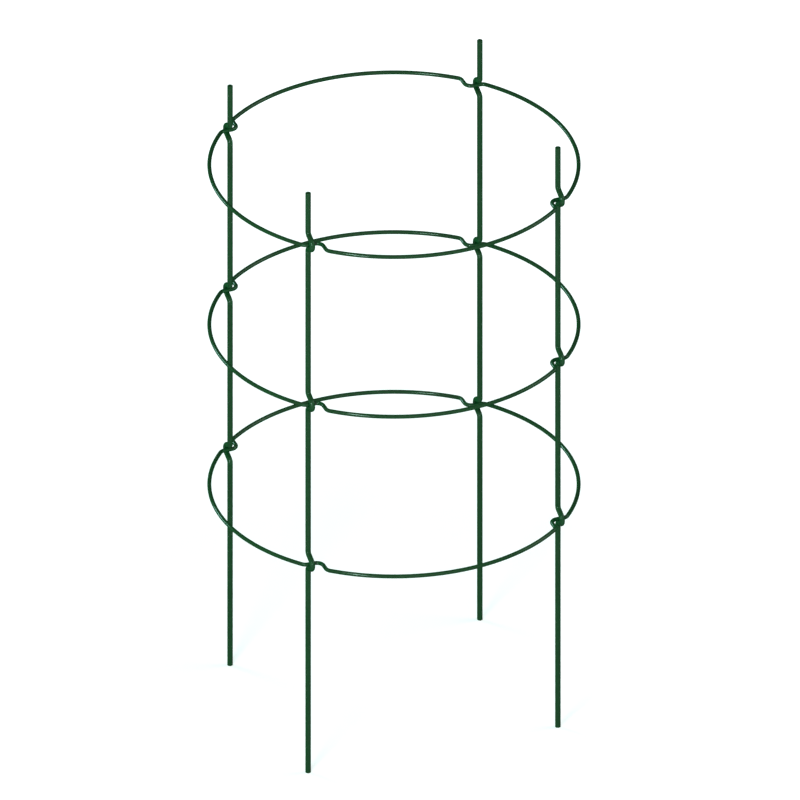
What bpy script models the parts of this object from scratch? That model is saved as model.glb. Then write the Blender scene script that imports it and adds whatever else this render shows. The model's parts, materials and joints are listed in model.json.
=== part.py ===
"""Folding plant support: three wire rings carried by four kinked wire stakes.

Lengths are in metres, +Z is up, and the origin is on the ground under the rings' centre.
Every stake turns on the straight pockets of the rings, which all lie along X, so the
whole support leans over along Y and folds flat.
"""
import math

import bpy
from mathutils import Vector

# Rings, measured on the wire's centreline
RING_DIAMETER = 0.300
RING_WIRE = 0.0034
RING_BEND = 0.0057
RING_PITCH = 0.1498
POCKET_ANGLE = math.radians(41.1)
JOG_PLAY = 0.0010
ARC_PLAY = 0.0002

# Stakes, measured on the wire's centreline
STAKE_WIRE = 0.0046
STAKE_FOOT = 0.1985
STAKE_TOP = 0.0452
STAKE_BEND = 0.0030
KINK_REACH = 0.0059
KINK_LEAN = math.radians(68.4)

# Running gap between a ring's wire and the kink that lies round it
SEAT_GAP = 0.0003

# Finish of the plastic coat
COAT_COLOUR = (0.021, 0.084, 0.028, 1.0)
COAT_ROUGHNESS = 0.38

# Turn from one point of a curve to the next, and how round a wire is
ARC_STEP = math.radians(4.5)
BEND_STEP = math.radians(14.0)
RING_BEVEL_RESOLUTION = 2
STAKE_BEVEL_RESOLUTION = 4

COLLECTION = "plant_support"
RING_NAMES = ("ring_bottom", "ring_middle", "ring_top")
STAKE_SIDES = {
    "stake_front_left": (-1, -1),
    "stake_front_right": (1, -1),
    "stake_back_left": (-1, 1),
    "stake_back_right": (1, 1),
}
MAIN_STAKE = "stake_front_left"

# Places that follow from the sizes above
RING_RADIUS = RING_DIAMETER / 2
RING_HEIGHTS = [STAKE_FOOT + level * RING_PITCH for level in range(len(RING_NAMES))]
POCKET_Y = RING_RADIUS * math.sin(POCKET_ANGLE)
ARC_CORNER_X = RING_RADIUS * math.cos(POCKET_ANGLE)
ARC_CORNER_TURN = math.pi / 2 - POCKET_ANGLE
POCKET_END_X = ARC_CORNER_X - RING_BEND * math.tan(ARC_CORNER_TURN / 2)
STAKE_X = POCKET_END_X - ARC_PLAY - STAKE_WIRE / 2
POCKET_START_X = STAKE_X - STAKE_WIRE / 2 - JOG_PLAY


def arc(centre, radius, start, end, step):
    """Points on a circular arc, both ends included."""
    count = max(2, math.ceil(abs(end - start) / step))
    angles = [start + (end - start) * index / count for index in range(count + 1)]
    return [
        (centre[0] + radius * math.cos(angle), centre[1] + radius * math.sin(angle))
        for angle in angles
    ]


def ring_quarter():
    """A quarter of a ring, from its side (+X) over one pocket and jog to its back (+Y)."""
    corner_y = POCKET_Y - RING_BEND
    corner_x = math.sqrt((RING_RADIUS - RING_BEND) ** 2 - corner_y ** 2)
    corner_angle = math.atan2(corner_y, corner_x)
    shoulder_x = POCKET_START_X - 2 * RING_BEND
    shoulder_y = math.sqrt((RING_RADIUS - RING_BEND) ** 2 - shoulder_x ** 2)
    shoulder_angle = math.atan2(shoulder_y, shoulder_x)
    quarter = math.pi / 2

    side = arc((0, 0), RING_RADIUS, 0, corner_angle, ARC_STEP)
    into_pocket = arc((corner_x, corner_y), RING_BEND, corner_angle, quarter, BEND_STEP)
    into_jog = arc(
        (POCKET_START_X, POCKET_Y + RING_BEND), RING_BEND, -quarter, -math.pi, BEND_STEP
    )
    out_of_jog = arc((shoulder_x, shoulder_y), RING_BEND, 0, shoulder_angle, BEND_STEP)
    back = arc((0, 0), RING_RADIUS, shoulder_angle, quarter, ARC_STEP)
    return side[:-1] + into_pocket + into_jog + out_of_jog[:-1] + back


def ring_outline():
    """The whole ring: the quarter mirrored in X and then in Y, without repeated points."""
    quarter = ring_quarter()
    half = quarter + [(-x, y) for x, y in reversed(quarter[:-1])]
    return half + [(x, -y) for x, y in reversed(half[1:-1])]


def kink():
    """One kink as points (out, up), measured from the wire that it lies round."""
    wrap = RING_WIRE / 2 + SEAT_GAP + STAKE_WIRE / 2
    corner = (wrap + KINK_REACH * math.cos(KINK_LEAN)) / math.sin(KINK_LEAN)
    bend_start = corner + STAKE_BEND * math.tan(KINK_LEAN / 2)
    bend_out = STAKE_BEND - KINK_REACH
    lower = arc((bend_out, -bend_start), STAKE_BEND, math.pi, math.pi - KINK_LEAN, BEND_STEP)
    round_wire = arc((0, 0), wrap, -KINK_LEAN, KINK_LEAN, BEND_STEP)
    upper = [(out, -up) for out, up in reversed(lower)]
    return lower + round_wire + upper


def stake_profile():
    """A stake as points (out, up), measured from its lowest hinge line."""
    points = [(-KINK_REACH, -STAKE_FOOT)]
    for level in range(len(RING_NAMES)):
        points += [(out, up + level * RING_PITCH) for out, up in kink()]
    top = (len(RING_NAMES) - 1) * RING_PITCH + STAKE_TOP
    return points + [(-KINK_REACH, top)]


def coat_material(name):
    """The smooth dark green plastic coat."""
    material = bpy.data.materials.new(name)
    material.use_nodes = True
    shader = material.node_tree.nodes["Principled BSDF"]
    shader.inputs["Base Color"].default_value = COAT_COLOUR
    shader.inputs["Roughness"].default_value = COAT_ROUGHNESS
    shader.inputs["Metallic"].default_value = 0.0
    material.diffuse_color = COAT_COLOUR
    return material


def wire(name, points, diameter, resolution, closed, collection):
    """A round wire along points, as a bevelled curve object."""
    curve = bpy.data.curves.new(name, "CURVE")
    curve.dimensions = "3D"
    curve.bevel_depth = diameter / 2
    curve.bevel_resolution = resolution
    curve.use_fill_caps = True
    spline = curve.splines.new("POLY")
    spline.points.add(len(points) - 1)
    for target, point in zip(spline.points, points):
        target.co = (*point, 1.0)
    spline.use_cyclic_u = closed
    spline.use_smooth = True
    piece = bpy.data.objects.new(name, curve)
    piece.data.materials.append(coat_material(name + "_coat"))
    collection.objects.link(piece)
    return piece


def hinge_point(side_x, side_y, level):
    """Where a stake turns on the ring at one level."""
    return Vector((side_x * STAKE_X, side_y * POCKET_Y, RING_HEIGHTS[level]))


def make_ring(level, origin, collection):
    """One ring, with its object origin at the point given."""
    height = RING_HEIGHTS[level]
    points = [Vector((x, y, height)) - origin for x, y in ring_outline()]
    name = RING_NAMES[level]
    return wire(name, points, RING_WIRE, RING_BEVEL_RESOLUTION, True, collection)


def make_stake(name, collection):
    """One stake, with its object origin on its lowest hinge line."""
    side_x, side_y = STAKE_SIDES[name]
    points = [Vector((0, side_y * out, up)) for out, up in stake_profile()]
    return wire(name, points, STAKE_WIRE, STAKE_BEVEL_RESOLUTION, False, collection)


def hang(child, place, parent, parent_place):
    """Parent a piece to the one that carries it, with its origin at a place in the world."""
    child.parent = parent
    child.location = place - parent_place


def main():
    for old in list(bpy.data.objects):
        bpy.data.objects.remove(old, do_unlink=True)
    collection = bpy.data.collections.new(COLLECTION)
    bpy.context.scene.collection.children.link(collection)

    base = Vector((0, 0, RING_HEIGHTS[0]))
    root = make_ring(0, base, collection)
    root.location = base

    stakes = {}
    for name, (side_x, side_y) in STAKE_SIDES.items():
        stakes[name] = make_stake(name, collection)
        hang(stakes[name], hinge_point(side_x, side_y, 0), root, base)

    main_sides = STAKE_SIDES[MAIN_STAKE]
    main_place = hinge_point(*main_sides, 0)
    for level in range(1, len(RING_NAMES)):
        place = hinge_point(*main_sides, level)
        ring = make_ring(level, place, collection)
        hang(ring, place, stakes[MAIN_STAKE], main_place)


main()
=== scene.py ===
"""Folding plant support: plastic coated wire rings and stakes, and the studio they stand in.

Lengths are in metres, +Z is up, and the origin is on the ground under the rings' centre.
Each ring is a closed wire with four straight pockets, and each stake is a wire with three
kinks that lie round the rings' pockets. The sizes come from the frame where it holds them.
"""
import json
import math
from typing import NamedTuple

import bmesh
import bpy
from bpy.props import FloatProperty, FloatVectorProperty, IntProperty, PointerProperty
from bpy.types import Operator, Panel, PropertyGroup
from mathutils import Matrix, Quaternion, Vector, noise


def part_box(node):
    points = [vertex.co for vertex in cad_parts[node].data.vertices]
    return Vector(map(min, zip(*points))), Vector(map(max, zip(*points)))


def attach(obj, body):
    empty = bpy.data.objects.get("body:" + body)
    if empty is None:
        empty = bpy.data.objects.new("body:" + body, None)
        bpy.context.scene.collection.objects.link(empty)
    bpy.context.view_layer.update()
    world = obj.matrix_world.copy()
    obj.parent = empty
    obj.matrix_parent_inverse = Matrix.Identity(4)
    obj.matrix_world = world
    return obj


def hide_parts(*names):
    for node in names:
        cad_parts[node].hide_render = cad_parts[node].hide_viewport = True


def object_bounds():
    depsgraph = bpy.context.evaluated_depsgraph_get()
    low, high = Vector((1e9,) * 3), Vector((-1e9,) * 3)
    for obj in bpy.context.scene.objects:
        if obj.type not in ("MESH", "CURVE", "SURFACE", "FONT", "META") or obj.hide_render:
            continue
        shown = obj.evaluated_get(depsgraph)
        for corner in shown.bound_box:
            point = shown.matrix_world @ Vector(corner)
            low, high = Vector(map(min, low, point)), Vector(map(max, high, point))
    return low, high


bl_info = {
    "name": "Folding Plant Support",
    "version": (1, 0, 0),
    "blender": (4, 5, 0),
    "location": "3D View > Sidebar > Plant Support",
    "description": "Builds the coated rings and stakes of a folding plant support, and its studio",
    "category": "Add Mesh",
}

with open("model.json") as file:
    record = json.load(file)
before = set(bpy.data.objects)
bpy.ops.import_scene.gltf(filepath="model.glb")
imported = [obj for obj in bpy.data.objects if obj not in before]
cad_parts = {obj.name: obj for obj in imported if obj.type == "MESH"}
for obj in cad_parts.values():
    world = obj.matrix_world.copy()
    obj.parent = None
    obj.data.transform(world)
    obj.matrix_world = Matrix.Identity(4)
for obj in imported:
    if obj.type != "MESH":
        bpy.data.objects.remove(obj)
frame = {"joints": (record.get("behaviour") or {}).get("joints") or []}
CAD_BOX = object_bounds()

RINGS = ("ring_bottom", "ring_middle", "ring_top")
STAKES = ("stake_front_left", "stake_front_right", "stake_back_left", "stake_back_right")

# Names of what the meshes carry for their material
PLACE_LAYER = "wire_place"
BEND_LAYER = "bend"
RUB_LAYER = "rub"

# How many loops round a square-cut end's rim, and how close together the waves in the coat's
# thickness lie, per radius round the wire and per metre along it
RIM_STEPS = 4
WOBBLE_ROUND = 2
WOBBLE_ALONG = 150

# The coat's textures: how much longer each is along the wire, and how many octaves it has
TEXTURE_ROUGHNESS = 0.55
MOTTLE_STRETCH = 4.0
MOTTLE_DETAIL = 3.0
CLOUD_STRETCH = 1.5
CLOUD_DETAIL = 2.0
WAVE_STRETCH = 1.6
WAVE_DETAIL = 2.0
LINE_STRETCH = 60.0
LINE_DETAIL = 1.0
SPECK_STRETCH = 1.0
SPECK_DETAIL = 1.0
MARK_STRETCH = 2.0
MARK_DETAIL = 4.0

# How many times finer the clouds are than the mottling, and lines and specks than the waves
CLOUD_FINENESS = 14.0
LINE_FINENESS = 2.5
SPECK_FINENESS = 4.0

# How much the mottling and its clouds add up to, and how high lines and specks stand
MOTTLE_WEIGHT = 0.6
CLOUD_WEIGHT = 0.4
LINE_HEIGHT = 0.5
SPECK_DEPTH = 0.3

# The part of each texture's range that is spread out into its mask
MOTTLE_RANGE = (0.35, 0.65)
WAVE_RANGE = (0.35, 0.65)
LINE_RANGE = (0.45, 0.70)
SPECK_RANGE = (0.66, 0.74)
MARK_RANGE = (0.30, 0.95)

# The texture that breaks up the edges of bent and rubbed places: its frequency, and the
# value in its middle
MARK_FREQUENCY = 600.0
MARK_MIDDLE = 0.5

# How the gloss goes from a wire's face to its edges: 0.5 is an even change
EDGE_BLEND = 0.5


def hinge_place(joint_name):
    """Where the frame has a joint's hinge line."""
    for joint in frame["joints"]:
        if joint["name"] == joint_name:
            return Vector(joint["pos_m"])
    raise RuntimeError("the frame has no joint named " + joint_name)


# Sizes that the frame holds; radii, places and heights are those of the wires' centrelines
RING_LOW, RING_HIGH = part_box("ring_bottom")
RING_WIRE = RING_HIGH.z - RING_LOW.z
RING_RADIUS = RING_HIGH.x - RING_WIRE / 2
STAKE_LOW, STAKE_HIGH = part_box("stake_back_right")
STAKE_WIRE = STAKE_HIGH.x - STAKE_LOW.x
STAKE_LINE_Y = STAKE_LOW.y + STAKE_WIRE / 2
STAKE_X = abs(hinge_place("fold").x)
POCKET_Y = abs(hinge_place("fold").y)
KINK_REACH = POCKET_Y - STAKE_LINE_Y
RING_HEIGHTS = [sum(corner.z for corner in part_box(ring)) / 2 for ring in RINGS]


class WireForm(PropertyGroup):
    """How the wires are bent and how finely they are meshed."""

    ring_bend: FloatProperty(
        name="Ring Bend", description="Radius of the bends beside a ring's pockets",
        default=0.0057, unit="LENGTH")
    jog_play: FloatProperty(
        name="Jog Play", description="Straight wire between a stake and the jog's bend",
        default=0.0010, unit="LENGTH")
    stake_bend: FloatProperty(
        name="Stake Bend", description="Radius of the bends where a kink leaves the stake's line",
        default=0.0030, unit="LENGTH")
    kink_lean: FloatProperty(
        name="Kink Lean", description="Angle between a kink's leg and the stake's line",
        default=math.radians(68.4), subtype="ANGLE")
    seat_gap: FloatProperty(
        name="Seat Gap", description="Running gap between a kink and the ring's wire in it",
        default=0.0003, unit="LENGTH")
    end_rim: FloatProperty(
        name="End Rim", description="Radius of the coat round a stake's square-cut end",
        default=0.0003, unit="LENGTH")
    coat_wobble: FloatProperty(
        name="Coat Wobble", description="How far the coat's thickness falls short in places",
        default=0.00002, unit="LENGTH")
    bend_flattening: FloatProperty(
        name="Bend Flattening", description="Share of its thickness that the wire loses in a bend",
        default=0.03, subtype="FACTOR", min=0.0, max=0.2)
    bend_ease: FloatProperty(
        name="Bend Ease", description="Length of wire over which a bend's marks fade out",
        default=0.0030, unit="LENGTH")
    station_step: FloatProperty(
        name="Station Step", description="Distance between the mesh's loops on a straight run",
        default=0.0015, unit="LENGTH")
    arc_step: FloatProperty(
        name="Arc Step", description="Turn from loop to loop along the rings' arcs",
        default=math.radians(0.75), subtype="ANGLE")
    bend_step: FloatProperty(
        name="Bend Step", description="Turn from loop to loop in a bend",
        default=math.radians(6.0), subtype="ANGLE")
    ring_sides: IntProperty(
        name="Ring Sides", description="Faces round a ring's wire", default=24, min=8)
    stake_sides: IntProperty(
        name="Stake Sides", description="Faces round a stake's wire", default=32, min=8)


class CoatFinish(PropertyGroup):
    """Colours and surface of the plastic coat."""

    colour: FloatVectorProperty(
        name="Coat", description="Colour of the plastic coat",
        default=(0.0045, 0.0475, 0.0115), size=3, subtype="COLOR", min=0.0, max=1.0)
    deep: FloatVectorProperty(
        name="Deep Coat", description="Colour where the coat lies thicker and looks deeper",
        default=(0.0025, 0.0298, 0.0067), size=3, subtype="COLOR", min=0.0, max=1.0)
    # Lighter coat that drawn lines, specks and rubbing tint towards. On the bends it is partly
    # stretched coat and partly a painted highlight, its teal tint standing in for the glints on
    # the bends.
    lighter_and_sheen: FloatVectorProperty(
        name="Stretched Coat", description="Colour where a bend stretches the coat",
        default=(0.0085, 0.0632, 0.0216), size=3, subtype="COLOR", min=0.0, max=1.0)
    body_gloss: FloatProperty(
        name="Body Gloss", description="Specular level of the coat under its skin",
        default=0.0, subtype="FACTOR", min=0.0, max=1.0)
    gloss: FloatProperty(
        name="Gloss", description="How strongly the coat's skin mirrors the lamps",
        default=0.056, subtype="FACTOR", min=0.0, max=1.0)
    edge_gloss: FloatProperty(
        name="Edge Gloss", description="Share of the gloss that is left at a wire's edges",
        default=0.0, subtype="FACTOR", min=0.0, max=1.0)
    gloss_index: FloatProperty(
        name="Gloss Index", description="Refractive index of the coat's skin",
        default=4.0, min=1.0, max=4.0)
    gloss_roughness: FloatProperty(
        name="Gloss Roughness", description="Roughness of the coat's skin",
        default=0.14, subtype="FACTOR", min=0.0, max=1.0)
    roughness: FloatProperty(
        name="Roughness", description="Roughness of a smooth stretch of the coat",
        default=0.40, subtype="FACTOR", min=0.0, max=1.0)
    roughness_spread: FloatProperty(
        name="Roughness Spread", description="How much rougher the dullest stretches are",
        default=0.10, subtype="FACTOR", min=0.0, max=1.0)
    mottle_size: FloatProperty(
        name="Mottle Size", description="Length of the coat's lighter and deeper stretches",
        default=0.012, unit="LENGTH")
    line_share: FloatProperty(
        name="Line Share", description="How strongly the drawn lines lighten the coat",
        default=0.50, subtype="FACTOR", min=0.0, max=1.0)
    speck_share: FloatProperty(
        name="Speck Share", description="How strongly the fine specks lighten the coat",
        default=0.70, subtype="FACTOR", min=0.0, max=1.0)
    # The bends' lightening is partly stretched coat and partly a painted highlight on the bends.
    bend_stretch_and_sheen_share: FloatProperty(
        name="Bend Share", description="How strongly the bends' stretched coat shows",
        default=0.60, subtype="FACTOR", min=0.0, max=1.0)
    rub_share: FloatProperty(
        name="Rub Share", description="How strongly rubbing lightens the coat",
        default=0.35, subtype="FACTOR", min=0.0, max=1.0)
    wave_dullness: FloatProperty(
        name="Wave Dullness", description="Share of the gloss that the fine waves take away",
        default=0.40, subtype="FACTOR", min=0.0, max=1.0)
    line_dullness: FloatProperty(
        name="Line Dullness", description="Share of the gloss that the drawn lines take away",
        default=0.50, subtype="FACTOR", min=0.0, max=1.0)
    rub_dullness: FloatProperty(
        name="Rub Dullness", description="Share of the gloss that rubbing takes away",
        default=0.60, subtype="FACTOR", min=0.0, max=1.0)
    line_roughness: FloatProperty(
        name="Line Roughness", description="Roughness that the drawn lines add",
        default=0.08, subtype="FACTOR", min=0.0, max=1.0)
    rub_roughness: FloatProperty(
        name="Rub Roughness", description="Roughness that rubbing adds",
        default=0.20, subtype="FACTOR", min=0.0, max=1.0)
    peel_size: FloatProperty(
        name="Peel Size", description="Width of the coat's fine waves",
        default=0.0012, unit="LENGTH")
    peel_height: FloatProperty(
        name="Peel Height", description="Height of the coat's fine waves",
        default=0.00010, unit="LENGTH")


class Studio(PropertyGroup):
    """The floor, the lamps and the camera."""

    floor_radius: FloatProperty(
        name="Floor Radius", description="Radius of the round floor", default=3.0, unit="LENGTH")
    floor_colour: FloatVectorProperty(
        name="Floor", description="Colour of the floor",
        default=(0.6, 0.6, 0.6), size=3, subtype="COLOR", min=0.0, max=1.0)
    floor_glow: FloatProperty(
        name="Floor Glow", description="White that the floor adds to its picture at the support",
        default=0.56, min=0.0, max=1.0)
    front_power: FloatProperty(
        name="Front Power", description="Power of the wide lamp in front",
        default=4.0, unit="POWER")
    key_power: FloatProperty(
        name="Key Power", description="Power of the narrow lamp at the left in front",
        default=36.0, unit="POWER")
    rim_power: FloatProperty(
        name="Rim Power", description="Power of the far lamp at the left behind",
        default=330.0, unit="POWER")
    fill_power: FloatProperty(
        name="Fill Power", description="Power of the square lamp at the right",
        default=25.0, unit="POWER")
    key_colour: FloatVectorProperty(
        name="Key Colour", description="Colour of the narrow lamp at the left in front",
        default=(0.62, 1.0, 0.86), size=3, subtype="COLOR", min=0.0, max=1.0)
    rim_colour: FloatVectorProperty(
        name="Rim Colour", description="Colour of the far lamp at the left behind",
        default=(0.50, 1.0, 0.94), size=3, subtype="COLOR", min=0.0, max=1.0)
    sky_level: FloatProperty(
        name="Sky Level", description="Light that comes evenly from all round", default=0.14,
        min=0.0)
    view_azimuth: FloatProperty(
        name="View Azimuth", description="Angle that the camera stands round the support",
        default=math.radians(-20.0), subtype="ANGLE")
    view_elevation: FloatProperty(
        name="View Elevation", description="Angle of the camera above the ground",
        default=math.radians(30.0), subtype="ANGLE")
    pixel_size: FloatProperty(
        name="Pixel Size", description="Length that one pixel of the picture covers",
        default=0.0008123, unit="LENGTH")


WHITE = (1.0, 1.0, 1.0)


class LampPlace(NamedTuple):
    """Where a soft lamp stands and how big it is; its angles are in degrees."""

    azimuth: float
    elevation: float
    lean: float
    distance: float
    width: float
    height: float


FRONT_LAMP = LampPlace(
    azimuth=0, elevation=25, lean=0, distance=2.0, width=1.2, height=0.6)
KEY_LAMP = LampPlace(
    azimuth=-41, elevation=25, lean=20, distance=2.0, width=0.12, height=1.3)
RIM_LAMP = LampPlace(
    azimuth=-144, elevation=10, lean=0, distance=5.0, width=1.5, height=1.3)
FILL_LAMP = LampPlace(
    azimuth=80, elevation=25, lean=0, distance=2.2, width=1.2, height=1.2)

# The picture's width and height in pixels, where the bottom ring's centre is in it, and how
# far from the support the camera stands
PICTURE_PIXELS = 800
RING_CENTRE_PIXEL = (393.97, 484.11)
CAMERA_DISTANCE = 2.0

# The floor: how many sides its rim has, how far it lies below the stakes' feet, its surface,
# and how far out its glow starts to grow and has grown to plain white
FLOOR_SIDES = 96
FLOOR_DROP = 0.0001
FLOOR_ROUGHNESS = 0.9
FLOOR_SPECULAR = 0.1
GLOW_START = 0.3
GLOW_END = 1.5


def arc(centre, radius, start, end, step):
    """Points on a circular arc in a plane, both ends included."""
    count = max(2, math.ceil(abs(end - start) / step))
    angles = [start + (end - start) * index / count for index in range(count + 1)]
    return [
        (centre[0] + radius * math.cos(angle), centre[1] + radius * math.sin(angle))
        for angle in angles
    ]


def ring_quarter(form):
    """A quarter of a ring, from its side (+X) over one pocket and jog to its back (+Y)."""
    bend = form.ring_bend
    corner_y = POCKET_Y - bend
    corner_x = math.sqrt((RING_RADIUS - bend) ** 2 - corner_y ** 2)
    corner_angle = math.atan2(corner_y, corner_x)
    pocket_start_x = STAKE_X - STAKE_WIRE / 2 - form.jog_play
    shoulder_x = pocket_start_x - 2 * bend
    shoulder_y = math.sqrt((RING_RADIUS - bend) ** 2 - shoulder_x ** 2)
    shoulder_angle = math.atan2(shoulder_y, shoulder_x)
    quarter = math.pi / 2

    side = arc((0, 0), RING_RADIUS, 0, corner_angle, form.arc_step)
    into_pocket = arc((corner_x, corner_y), bend, corner_angle, quarter, form.bend_step)
    into_jog = arc(
        (pocket_start_x, POCKET_Y + bend), bend, -quarter, -math.pi, form.bend_step)
    out_of_jog = arc((shoulder_x, shoulder_y), bend, 0, shoulder_angle, form.bend_step)
    back = arc((0, 0), RING_RADIUS, shoulder_angle, quarter, form.arc_step)
    return side[:-1] + into_pocket + into_jog + out_of_jog[:-1] + back


def ring_outline(form):
    """The whole ring: the quarter mirrored in X and then in Y, without repeated points."""
    quarter = ring_quarter(form)
    half = quarter + [(-x, y) for x, y in reversed(quarter[:-1])]
    return half + [(x, -y) for x, y in reversed(half[1:-1])]


def kink(form):
    """One kink as points (out, up), measured from the ring's wire that it lies round."""
    wrap = RING_WIRE / 2 + form.seat_gap + STAKE_WIRE / 2
    lean = form.kink_lean
    corner = (wrap + KINK_REACH * math.cos(lean)) / math.sin(lean)
    bend_start = corner + form.stake_bend * math.tan(lean / 2)
    bend_centre = (form.stake_bend - KINK_REACH, -bend_start)
    lower = arc(bend_centre, form.stake_bend, math.pi, math.pi - lean, form.bend_step)
    round_wire = arc((0, 0), wrap, -lean, lean, form.bend_step)
    upper = [(out, -up) for out, up in reversed(lower)]
    return lower + round_wire + upper


def straight(start, end, step):
    """Points on a straight run, without its last one."""
    count = max(1, round((end - start).length / step))
    return [start.lerp(end, index / count) for index in range(count)]


def stake_path(form, side_x, side_y, low, high):
    """A stake's centreline in the world, from its foot to its top."""
    corners = [Vector((side_x * STAKE_X, side_y * STAKE_LINE_Y, low))]
    for height in RING_HEIGHTS:
        corners += [
            Vector((side_x * STAKE_X, side_y * (POCKET_Y + out), height + up))
            for out, up in kink(form)
        ]
    corners.append(Vector((side_x * STAKE_X, side_y * STAKE_LINE_Y, high)))
    path = []
    for start, end in zip(corners, corners[1:]):
        path += straight(start, end, form.station_step)
    return path + corners[-1:]


def tangents(path, closed):
    """The direction of the path at each of its points."""
    last = len(path) - 1
    found = []
    for index in range(len(path)):
        before = path[index - 1] if closed or index > 0 else path[index]
        after = path[(index + 1) % len(path)] if closed or index < last else path[index]
        found.append((after - before).normalized())
    return found


def lengths_along(path):
    """How far along the path each of its points lies."""
    found = [0.0]
    for start, end in zip(path, path[1:]):
        found.append(found[-1] + (end - start).length)
    return found


def turn_shares(path, closed, tightest, ease):
    """How tightly the path turns at each point, as a share of its tightest bend.

    The shares ease in and out over a length of wire beside each bend.
    """
    directions = tangents(path, closed)
    along = lengths_along(path)
    around = along[-1] + (path[-1] - path[0]).length
    following = directions[1:] + (directions[:1] if closed else directions[-1:])
    turns = [before.angle(after, 0.0) for before, after in zip(directions, following)]
    shares = []
    for here in along:
        near = 0.0
        for place, turn in zip(along, turns):
            apart = abs(place - here)
            if closed:
                apart = min(apart, around - apart)
            near += turn * max(0.0, 1.0 - apart / ease) / ease
        shares.append(min(1.0, near * tightest))
    return shares


def end_stations(end, inward, radius, rim):
    """The loops that round the rim of a square-cut end, as (place, radius), end first."""
    found = []
    for index in range(RIM_STEPS):
        angle = math.pi / 2 * index / RIM_STEPS
        place = end + inward * (rim - rim * math.cos(angle))
        found.append((place, radius - rim + rim * math.sin(angle)))
    return found


def ring_rub(point):
    """How much a ring's coat rubs at a place: most where a kink lies round it."""
    off_stake = abs(abs(point.x) - STAKE_X) / STAKE_WIRE
    off_pocket = abs(abs(point.y) - POCKET_Y) / (2 * STAKE_WIRE)
    return max(0.0, 1.0 - max(off_stake, off_pocket) ** 2)


def stake_rub(point):
    """How much a stake's coat rubs at a place: most on the inside of its kinks."""
    from_ring = min(
        math.hypot(abs(point.y) - POCKET_Y, point.z - height) for height in RING_HEIGHTS)
    return max(0.0, 1.0 - from_ring / (STAKE_WIRE / 2 + RING_WIRE))


def sweep_wire(name, path, across, diameter, sides, closed, tightest, form, rub_at):
    """A round wire along a flat path, as a mesh object.

    The mesh keeps, for its material, each point's place as if the wire were straight, how
    tightly it is bent there and how much it rubs there.
    """
    radius = diameter / 2
    directions = tangents(path, closed)
    shares = turn_shares(path, closed, tightest, form.bend_ease)
    stations = [
        (point, direction, radius, share)
        for point, direction, share in zip(path, directions, shares)
    ]
    if not closed:
        foot = end_stations(path[0], directions[0], radius, form.end_rim)
        head = end_stations(path[-1], -directions[-1], radius, form.end_rim)
        stations[0] = (path[0] + directions[0] * form.end_rim, directions[0], radius, 0.0)
        stations[-1] = (path[-1] - directions[-1] * form.end_rim, directions[-1], radius, 0.0)
        stations = (
            [(place, directions[0], size, 0.0) for place, size in foot]
            + stations
            + [(place, directions[-1], size, 0.0) for place, size in reversed(head)]
        )

    places = lengths_along([station[0] for station in stations])
    if closed:
        # The texture runs both ways from the first loop, so that it has no seam
        places = [min(place, places[-1] - place) for place in places]

    build = bmesh.new()
    place_layer = build.verts.layers.float_vector.new(PLACE_LAYER)
    bend_layer = build.verts.layers.float.new(BEND_LAYER)
    rub_layer = build.verts.layers.float.new(RUB_LAYER)
    loops = []
    for along, (centre, direction, size, share) in zip(places, stations):
        up = direction.cross(across).normalized()
        flat = 1.0 - form.bend_flattening * share
        loop = []
        for side in range(sides):
            angle = math.tau * side / sides
            over, beside = math.cos(angle), math.sin(angle)
            wave = noise.noise(
                Vector((over * WOBBLE_ROUND, beside * WOBBLE_ROUND, along * WOBBLE_ALONG)))
            reach = size - form.coat_wobble * (1 + wave) / 2
            offset = up * (over * reach * flat) + across * (beside * reach)
            vert = build.verts.new(centre + offset)
            vert[place_layer] = Vector((over * radius, beside * radius, along))
            vert[bend_layer] = share
            vert[rub_layer] = rub_at(centre + offset)
            loop.append(vert)
        loops.append(loop)

    pairs = list(zip(loops, loops[1:]))
    if closed:
        pairs.append((loops[-1], loops[0]))
    for near, far in pairs:
        for side in range(sides):
            after = (side + 1) % sides
            build.faces.new((near[side], near[after], far[after], far[side]))
    if not closed:
        build.faces.new(list(reversed(loops[0])))
        build.faces.new(loops[-1])
    bmesh.ops.recalc_face_normals(build, faces=build.faces)
    mesh = bpy.data.meshes.new(name)
    build.to_mesh(mesh)
    build.free()
    mesh.shade_smooth()
    if not closed:
        # The last two faces are the flat ends
        for face in mesh.polygons[-2:]:
            face.use_smooth = False
    piece = bpy.data.objects.new(name, mesh)
    bpy.context.scene.collection.objects.link(piece)
    return piece


def node(tree, kind, **settings):
    """A new node in a tree, with its own settings and its inputs' values."""
    made = tree.nodes.new(kind)
    for name, value in settings.items():
        if hasattr(made, name):
            setattr(made, name, value)
        else:
            made.inputs[name.replace("_", " ")].default_value = value
    return made


def group_tree(name, inputs, outputs):
    """A new shader node group whose inputs and outputs are values with the names given."""
    tree = bpy.data.node_groups.new(name, "ShaderNodeTree")
    for in_out, socket_names in (("INPUT", inputs), ("OUTPUT", outputs)):
        for socket_name in socket_names:
            tree.interface.new_socket(
                socket_name, in_out=in_out, socket_type="NodeSocketFloat")
    return tree, tree.nodes.new("NodeGroupInput"), tree.nodes.new("NodeGroupOutput")


def wire_texture(tree, frequency, stretch, detail):
    """Noise on the straightened wire: a frequency socket, and its stretch along the wire."""
    place = node(tree, "ShaderNodeAttribute", attribute_name=PLACE_LAYER)
    scaled = node(tree, "ShaderNodeVectorMath", operation="MULTIPLY")
    scaled.inputs[1].default_value = (1.0, 1.0, 1.0 / stretch)
    texture = node(tree, "ShaderNodeTexNoise", Detail=detail, Roughness=TEXTURE_ROUGHNESS)
    tree.links.new(place.outputs["Vector"], scaled.inputs[0])
    tree.links.new(scaled.outputs[0], texture.inputs["Vector"])
    tree.links.new(frequency, texture.inputs["Scale"])
    return texture.outputs["Fac"]


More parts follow.
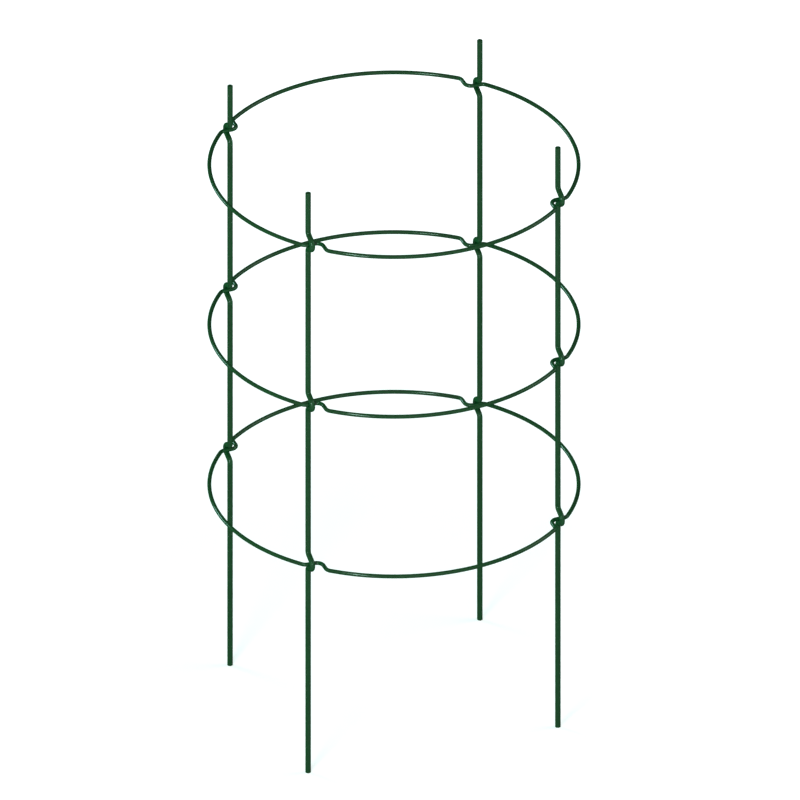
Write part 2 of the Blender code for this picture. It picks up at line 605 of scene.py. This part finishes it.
def remap(tree, value, low, high, new_low=0.0, new_high=1.0):
    """A value spread from one range to another, and clamped."""
    spread = node(tree, "ShaderNodeMapRange", clamp=True)
    for name, number in (
        ("From Min", low), ("From Max", high), ("To Min", new_low), ("To Max", new_high)
    ):
        spread.inputs[name].default_value = number
    tree.links.new(value, spread.inputs["Value"])
    return spread.outputs["Result"]


def combine(tree, operation, first, second):
    """Two values, sockets or numbers, put through one Math node."""
    made = node(tree, "ShaderNodeMath", operation=operation)
    for socket, value in zip(made.inputs, (first, second)):
        if isinstance(value, (int, float)):
            socket.default_value = value
        else:
            tree.links.new(value, socket)
    return made.outputs[0]


def mottle_group():
    """Soft lighter and deeper stretches of the coat, as a mask."""
    tree, given, wanted = group_tree("Coat Mottle", ["Frequency"], ["Mask"])
    broad = wire_texture(tree, given.outputs["Frequency"], MOTTLE_STRETCH, MOTTLE_DETAIL)
    cloud_frequency = combine(tree, "MULTIPLY", given.outputs["Frequency"], CLOUD_FINENESS)
    clouds = wire_texture(tree, cloud_frequency, CLOUD_STRETCH, CLOUD_DETAIL)
    both = combine(
        tree, "ADD", combine(tree, "MULTIPLY", broad, MOTTLE_WEIGHT),
        combine(tree, "MULTIPLY", clouds, CLOUD_WEIGHT))
    tree.links.new(remap(tree, both, *MOTTLE_RANGE), wanted.inputs["Mask"])
    return tree


def skin_group():
    """The coat's fine skin: its height, and its waves, lines and specks as masks."""
    tree, given, wanted = group_tree(
        "Coat Skin", ["Frequency", "Height"], ["Height", "Waves", "Lines", "Specks"])
    frequency = given.outputs["Frequency"]
    waves = wire_texture(tree, frequency, WAVE_STRETCH, WAVE_DETAIL)
    line_frequency = combine(tree, "MULTIPLY", frequency, LINE_FINENESS)
    lines = wire_texture(tree, line_frequency, LINE_STRETCH, LINE_DETAIL)
    speck_frequency = combine(tree, "MULTIPLY", frequency, SPECK_FINENESS)
    grains = wire_texture(tree, speck_frequency, SPECK_STRETCH, SPECK_DETAIL)
    specks = remap(tree, grains, *SPECK_RANGE)
    rough = combine(tree, "ADD", waves, combine(tree, "MULTIPLY", lines, LINE_HEIGHT))
    pitted = combine(tree, "SUBTRACT", rough, combine(tree, "MULTIPLY", specks, SPECK_DEPTH))
    height = combine(tree, "MULTIPLY", pitted, given.outputs["Height"])
    tree.links.new(height, wanted.inputs["Height"])
    tree.links.new(remap(tree, waves, *WAVE_RANGE), wanted.inputs["Waves"])
    tree.links.new(remap(tree, lines, *LINE_RANGE), wanted.inputs["Lines"])
    tree.links.new(specks, wanted.inputs["Specks"])
    return tree


def marks_group():
    """Where a bend stretches the coat and gets a painted highlight, and where wires rub, as masks
    with broken edges.
    """
    tree, given, wanted = group_tree("Coat Marks", ["Frequency"], ["Bend", "Rub"])
    broken = wire_texture(tree, given.outputs["Frequency"], MARK_STRETCH, MARK_DETAIL)
    for layer, output in ((BEND_LAYER, "Bend"), (RUB_LAYER, "Rub")):
        amount = node(tree, "ShaderNodeAttribute", attribute_name=layer)
        added = combine(tree, "ADD", amount.outputs["Fac"], broken)
        ragged = combine(tree, "SUBTRACT", added, MARK_MIDDLE)
        tree.links.new(remap(tree, ragged, *MARK_RANGE), wanted.inputs[output])
    return tree


def tinted(tree, mask, first, second):
    """One colour turning into another by a mask; each is a socket or three numbers."""
    mix = node(tree, "ShaderNodeMix", data_type="RGBA")
    tree.links.new(mask, mix.inputs["Factor"])
    for name, value in (("A", first), ("B", second)):
        socket = next(s for s in mix.inputs if s.name == name and s.type == "RGBA")
        if isinstance(value, bpy.types.NodeSocket):
            tree.links.new(value, socket)
        else:
            socket.default_value = (*value, 1.0)
    return next(s for s in mix.outputs if s.type == "RGBA")


def placed_group(tree, group, **values):
    """A node group placed in a tree, with values for its inputs."""
    made = node(tree, "ShaderNodeGroup", node_tree=group)
    for name, value in values.items():
        made.inputs[name].default_value = value
    return made


def coat_material(name, finish):
    """The dark green plastic coat, with a fine skin, soft mottling, bends lightened partly by a
    painted highlight, and a weak, tight gloss.
    """
    material = bpy.data.materials.new(name)
    material.use_nodes = True
    material.diffuse_color = (*finish.colour, 1.0)
    tree = material.node_tree
    shader = tree.nodes["Principled BSDF"]
    shader.inputs["Metallic"].default_value = 0.0
    shader.inputs["Specular IOR Level"].default_value = finish.body_gloss
    shader.inputs["Coat IOR"].default_value = finish.gloss_index
    shader.inputs["Coat Roughness"].default_value = finish.gloss_roughness

    groups = bpy.data.node_groups
    mottle = placed_group(
        tree, groups.get("Coat Mottle") or mottle_group(), Frequency=1 / finish.mottle_size)
    skin = placed_group(
        tree, groups.get("Coat Skin") or skin_group(),
        Frequency=1 / finish.peel_size, Height=finish.peel_height)
    marks = placed_group(
        tree, groups.get("Coat Marks") or marks_group(), Frequency=MARK_FREQUENCY)

    coat = tinted(tree, mottle.outputs["Mask"], finish.deep, finish.colour)
    # Lines, specks and rubbing lighten the coat. The bend mask lightens it partly for the
    # stretched coat and partly as a painted highlight on the bends.
    for mask, share in (
        (skin.outputs["Lines"], finish.line_share),
        (skin.outputs["Specks"], finish.speck_share),
        (marks.outputs["Bend"], finish.bend_stretch_and_sheen_share),
        (marks.outputs["Rub"], finish.rub_share),
    ):
        coat = tinted(tree, combine(tree, "MULTIPLY", mask, share), coat, finish.lighter_and_sheen)
    tree.links.new(coat, shader.inputs["Base Color"])

    dull = remap(
        tree, mottle.outputs["Mask"], 0.0, 1.0,
        finish.roughness + finish.roughness_spread, finish.roughness)
    for mask, added in (
        (skin.outputs["Lines"], finish.line_roughness),
        (marks.outputs["Rub"], finish.rub_roughness),
    ):
        dull = combine(tree, "ADD", dull, combine(tree, "MULTIPLY", mask, added))
    tree.links.new(dull, shader.inputs["Roughness"])

    edge = node(tree, "ShaderNodeLayerWeight", Blend=EDGE_BLEND)
    gloss = remap(
        tree, edge.outputs["Facing"], 0.0, 1.0, finish.gloss, finish.gloss * finish.edge_gloss)
    for mask, loss in (
        (skin.outputs["Waves"], finish.wave_dullness),
        (skin.outputs["Lines"], finish.line_dullness),
        (marks.outputs["Rub"], finish.rub_dullness),
    ):
        gloss = combine(tree, "MULTIPLY", remap(tree, mask, 0.0, 1.0, 1.0, 1.0 - loss), gloss)
    tree.links.new(gloss, shader.inputs["Coat Weight"])

    bump = node(tree, "ShaderNodeBump", Strength=1.0, Distance=1.0)
    tree.links.new(skin.outputs["Height"], bump.inputs["Height"])
    tree.links.new(bump.outputs["Normal"], shader.inputs["Normal"])
    return material


def dress(piece, body, material):
    """Give a wire its coat, and let it stand for the frame's wire on its body."""
    piece.data.materials.append(material)
    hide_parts(body)
    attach(piece, body)


class PLANTSUPPORT_OT_rings(Operator):
    """Build the three rings, each a closed wire with four straight pockets"""

    bl_idname = "plantsupport.rings"
    bl_label = "Rings"

    def execute(self, context):
        form = context.scene.plantsupport_form
        coat = coat_material("ring_coat", context.scene.plantsupport_ring_coat)
        for ring, height in zip(RINGS, RING_HEIGHTS):
            path = [Vector((x, y, height)) for x, y in ring_outline(form)]
            piece = sweep_wire(
                ring + "_wire", path, Vector((0, 0, 1)), RING_WIRE, form.ring_sides, True,
                form.ring_bend, form, ring_rub)
            dress(piece, ring, coat)
        return {"FINISHED"}


class PLANTSUPPORT_OT_stakes(Operator):
    """Build the four stakes, each a wire with three kinks and square-cut ends"""

    bl_idname = "plantsupport.stakes"
    bl_label = "Stakes"

    def execute(self, context):
        form = context.scene.plantsupport_form
        coat = coat_material("stake_coat", context.scene.plantsupport_stake_coat)
        for stake in STAKES:
            low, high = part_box(stake)
            side_x = math.copysign(1, low.x)
            side_y = math.copysign(1, low.y)
            path = stake_path(form, side_x, side_y, low.z, high.z)
            piece = sweep_wire(
                stake + "_wire", path, Vector((1, 0, 0)), STAKE_WIRE, form.stake_sides, False,
                form.stake_bend, form, stake_rub)
            dress(piece, stake, coat)
        return {"FINISHED"}


def towards(azimuth, elevation):
    """The direction from the support to a place round it; azimuth 0 is the front."""
    return Vector((
        math.sin(azimuth) * math.cos(elevation),
        -math.cos(azimuth) * math.cos(elevation),
        math.sin(elevation)))


def make_camera(studio):
    """A parallel view from the picture's side, framed by where the bottom ring is in it."""
    back = towards(studio.view_azimuth, studio.view_elevation)
    turn = back.to_track_quat("Z", "Y")
    right = turn @ Vector((1, 0, 0))
    up = turn @ Vector((0, 1, 0))
    middle = PICTURE_PIXELS / 2
    aim = Vector((0, 0, RING_HEIGHTS[0]))
    aim += right * ((middle - RING_CENTRE_PIXEL[0]) * studio.pixel_size)
    aim += up * ((RING_CENTRE_PIXEL[1] - middle) * studio.pixel_size)
    camera = bpy.data.cameras.new("camera")
    camera.type = "ORTHO"
    camera.ortho_scale = PICTURE_PIXELS * studio.pixel_size
    holder = bpy.data.objects.new("camera", camera)
    holder.rotation_mode = "QUATERNION"
    holder.rotation_quaternion = turn
    holder.location = aim + back * CAMERA_DISTANCE
    bpy.context.scene.collection.objects.link(holder)
    bpy.context.scene.camera = holder


def make_lamp(name, place, power, colour=WHITE):
    """A soft lamp that faces the middle of the support."""
    lamp = bpy.data.lights.new(name, "AREA")
    lamp.shape = "RECTANGLE"
    lamp.size = place.width
    lamp.size_y = place.height
    lamp.energy = power
    lamp.color = colour
    holder = bpy.data.objects.new(name, lamp)
    back = towards(math.radians(place.azimuth), math.radians(place.elevation))
    middle = Vector((0, 0, sum(corner.z for corner in CAD_BOX) / 2))
    lean = Quaternion((0, 0, 1), math.radians(place.lean))
    holder.location = middle + back * place.distance
    holder.rotation_mode = "QUATERNION"
    holder.rotation_quaternion = back.to_track_quat("Z", "Y") @ lean
    bpy.context.scene.collection.objects.link(holder)


def seen_directly(tree):
    """1 for what the camera sees itself, in a gloss or through glass, 0 for other light."""
    path = node(tree, "ShaderNodeLightPath")
    seen = combine(tree, "MAXIMUM", path.outputs["Is Camera Ray"], path.outputs["Is Glossy Ray"])
    return combine(tree, "MAXIMUM", seen, path.outputs["Is Transmission Ray"])


def make_world(sky_level):
    """White to look at, and a weak even light otherwise."""
    world = bpy.data.worlds.new("studio")
    world.use_nodes = True
    tree = world.node_tree
    background = tree.nodes["Background"]
    background.inputs["Color"].default_value = (*WHITE, 1.0)
    level = remap(tree, seen_directly(tree), 0.0, 1.0, sky_level, 1.0)
    tree.links.new(level, background.inputs["Strength"])
    bpy.context.scene.world = world


def floor_material(studio):
    """A pale matt floor whose glow makes it white, and fully so away from the support."""
    material = bpy.data.materials.new("studio_floor")
    material.use_nodes = True
    tree = material.node_tree
    shader = tree.nodes["Principled BSDF"]
    shader.inputs["Base Color"].default_value = (*studio.floor_colour, 1.0)
    shader.inputs["Roughness"].default_value = FLOOR_ROUGHNESS
    shader.inputs["Specular IOR Level"].default_value = FLOOR_SPECULAR
    shader.inputs["Emission Color"].default_value = (*WHITE, 1.0)
    place = node(tree, "ShaderNodeTexCoord")
    distance = node(tree, "ShaderNodeVectorMath", operation="LENGTH")
    tree.links.new(place.outputs["Object"], distance.inputs[0])
    glow = remap(
        tree, distance.outputs["Value"], GLOW_START, GLOW_END, studio.floor_glow, 1.0)
    seen_glow = combine(tree, "MULTIPLY", glow, seen_directly(tree))
    tree.links.new(seen_glow, shader.inputs["Emission Strength"])
    return material


class PLANTSUPPORT_OT_stage(Operator):
    """Build the pale floor, the white surroundings, the soft lamps and the camera"""

    bl_idname = "plantsupport.stage"
    bl_label = "Stage"

    def execute(self, context):
        studio = context.scene.plantsupport_studio
        mesh = bpy.data.meshes.new("floor")
        build = bmesh.new()
        bmesh.ops.create_circle(
            build, cap_ends=True, segments=FLOOR_SIDES, radius=studio.floor_radius)
        build.to_mesh(mesh)
        build.free()
        floor = bpy.data.objects.new("floor", mesh)
        floor.location.z = -FLOOR_DROP
        floor.data.materials.append(floor_material(studio))
        context.scene.collection.objects.link(floor)

        make_world(studio.sky_level)
        make_lamp("front", FRONT_LAMP, studio.front_power)
        make_lamp("key", KEY_LAMP, studio.key_power, studio.key_colour)
        make_lamp("rim", RIM_LAMP, studio.rim_power, studio.rim_colour)
        make_lamp("fill", FILL_LAMP, studio.fill_power)
        make_camera(studio)
        context.scene.view_settings.view_transform = "Standard"
        return {"FINISHED"}


class PLANTSUPPORT_PT_panel(Panel):
    """Lists the operators and the values they use"""

    bl_label = "Plant Support"
    bl_space_type = "VIEW_3D"
    bl_region_type = "UI"
    bl_category = "Plant Support"

    def draw(self, context):
        layout = self.layout
        for operator in OPERATORS:
            layout.operator(operator.bl_idname)
        for group in SETTINGS:
            box = layout.box()
            values = getattr(context.scene, group)
            for name in values.bl_rna.properties.keys():
                if name not in ("rna_type", "name"):
                    box.prop(values, name)


OPERATORS = (PLANTSUPPORT_OT_rings, PLANTSUPPORT_OT_stakes, PLANTSUPPORT_OT_stage)
SETTINGS = {
    "plantsupport_form": WireForm,
    "plantsupport_ring_coat": CoatFinish,
    "plantsupport_stake_coat": CoatFinish,
    "plantsupport_studio": Studio,
}
CLASSES = (WireForm, CoatFinish, Studio, *OPERATORS, PLANTSUPPORT_PT_panel)


def register():
    for cls in CLASSES:
        bpy.utils.register_class(cls)
    for name, group in SETTINGS.items():
        setattr(bpy.types.Scene, name, PointerProperty(type=group))


def unregister():
    for name in SETTINGS:
        delattr(bpy.types.Scene, name)
    for cls in reversed(CLASSES):
        bpy.utils.unregister_class(cls)


def main():
    register()
    bpy.ops.plantsupport.rings()
    bpy.ops.plantsupport.stakes()
    bpy.ops.plantsupport.stage()


if __name__ == "__main__":
    main()
